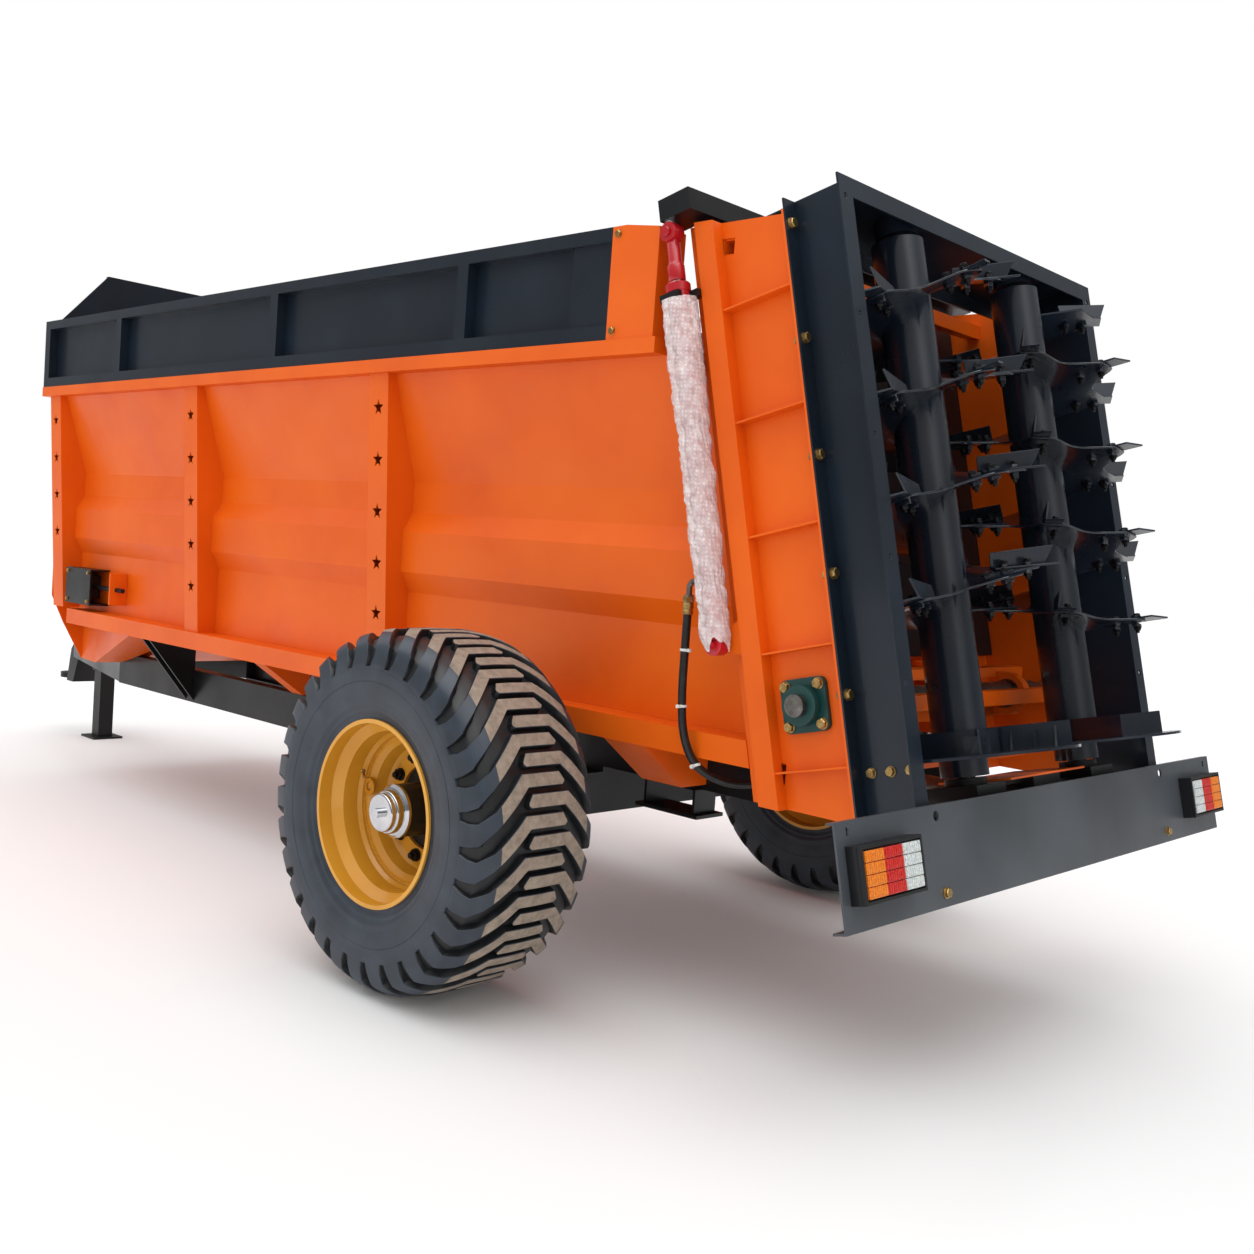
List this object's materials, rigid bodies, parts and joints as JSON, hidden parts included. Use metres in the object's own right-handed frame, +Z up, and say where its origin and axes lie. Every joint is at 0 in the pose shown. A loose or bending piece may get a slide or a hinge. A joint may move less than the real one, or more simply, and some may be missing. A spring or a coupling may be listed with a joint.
{
  "type": "manure spreader",
  "caption": "Towed manure spreader: high-sided body on flotation tyres, slatted moving floor, sliding rear door and upright rotating beaters over spreading discs.",
  "frame": {"origin": "on the ground under the middle of the machine's overall box", "axes": "+X forward to the tow eye, +Y to the left side, +Z up"},
  "size_m": [7.2722, 2.8208, 2.8],
  "materials": {
    "tyre": "satin",
    "rim_yellow": "gloss",
    "black_paint": "satin",
    "slate_paint": "satin",
    "orange_paint": "gloss",
    "bumper_grey": "satin",
    "steel": "satin",
    "chrome": "polished",
    "bearing_green": "satin",
    "lens": "gloss",
    "cylinder_red": "gloss",
    "film": "gloss",
    "hose_rubber": "satin"
  },
  "bodies": {
    "chassis": {"axle": "black_paint", "bottom_beam": "black_paint", "bumper": "bumper_grey", "chain_shafts": "steel", "chassis_brackets": "black_paint", "chassis_rails": "black_paint", "corner_gussets": "orange_paint", "cross_bearers": "orange_paint", "cross_tubes": "orange_paint", "cylinder_barrels": "cylinder_red", "cylinder_straps": "black_paint", "cylinder_wrap_left": "film", "cylinder_wrap_right": "film", "drawbar": "black_paint", "driveline": "steel", "floor_chain": "orange_paint", "floor_pan": "orange_paint", "front_wall": "orange_paint", "gearbox_plate": "orange_paint", "gearboxes": "black_paint", "headboard": "slate_paint", "hose_fittings": "steel", "hose_left": "hose_rubber", "hose_right": "hose_rubber", "jack_housing": "black_paint", "lamp_lenses": "lens", "lamps": "black_paint", "rear_post_left": "orange_paint", "rear_post_right": "orange_paint", "shaft_bearings": "bearing_green", "side_extensions": "slate_paint", "side_plate_left": "slate_paint", "side_plate_right": "slate_paint", "side_posts": "orange_paint", "side_wall_left": "orange_paint", "side_wall_right": "orange_paint", "sills": "orange_paint", "tensioner_brackets": "orange_paint", "tensioners": "black_paint", "top_beam": "slate_paint", "top_flanges": "orange_paint"},
    "wheel_left": {"tyre_left": "tyre", "rim_left": "rim_yellow", "hub_left": "black_paint", "hub_cap_left": "chrome"},
    "wheel_right": {"tyre_right": "tyre", "rim_right": "rim_yellow", "hub_right": "black_paint", "hub_cap_right": "chrome"},
    "beater_left": {"beater_flight_left": "slate_paint", "beater_tube_left": "slate_paint", "beater_disc_left": "slate_paint"},
    "beater_right": {"beater_flight_right": "slate_paint", "beater_tube_right": "slate_paint", "beater_disc_right": "slate_paint"},
    "door": {"door_panel": "black_paint", "door_crossbar": "black_paint", "cylinder_rods": "chrome"},
    "jack": {"jack_leg": "black_paint"}
  },
  "joints": [
    {"name": "wheel_left_spin", "type": "hinge", "parent": "chassis", "child": "wheel_left", "pos_m": [-1.8538, 1.17, 0.585], "axis": [0, 1, 0], "continuous": true},
    {"name": "wheel_right_spin", "type": "hinge", "parent": "chassis", "child": "wheel_right", "pos_m": [-1.8538, -1.17, 0.585], "axis": [0, 1, 0], "continuous": true},
    {"name": "beater_left_spin", "type": "hinge", "parent": "chassis", "child": "beater_left", "pos_m": [-3.19355, 0.375, 1.43648], "axis": [0.2368, 0, 0.9715], "continuous": true},
    {"name": "beater_right_spin", "type": "hinge", "parent": "chassis", "child": "beater_right", "pos_m": [-3.19355, -0.375, 1.43648], "axis": [0.2368, 0, 0.9715], "continuous": true},
    {"name": "door_slide", "type": "slide", "parent": "chassis", "child": "door", "axis": [0.2368, 0, 0.9715], "range_m": [0, 0.85]},
    {"name": "jack_slide", "type": "slide", "parent": "chassis", "child": "jack", "axis": [0, 0, 1], "range_m": [0, 0.33]}
  ],
  "couplings": [
    {"joint": "beater_right_spin", "follows": "beater_left_spin", "ratio": -1}
  ]
}
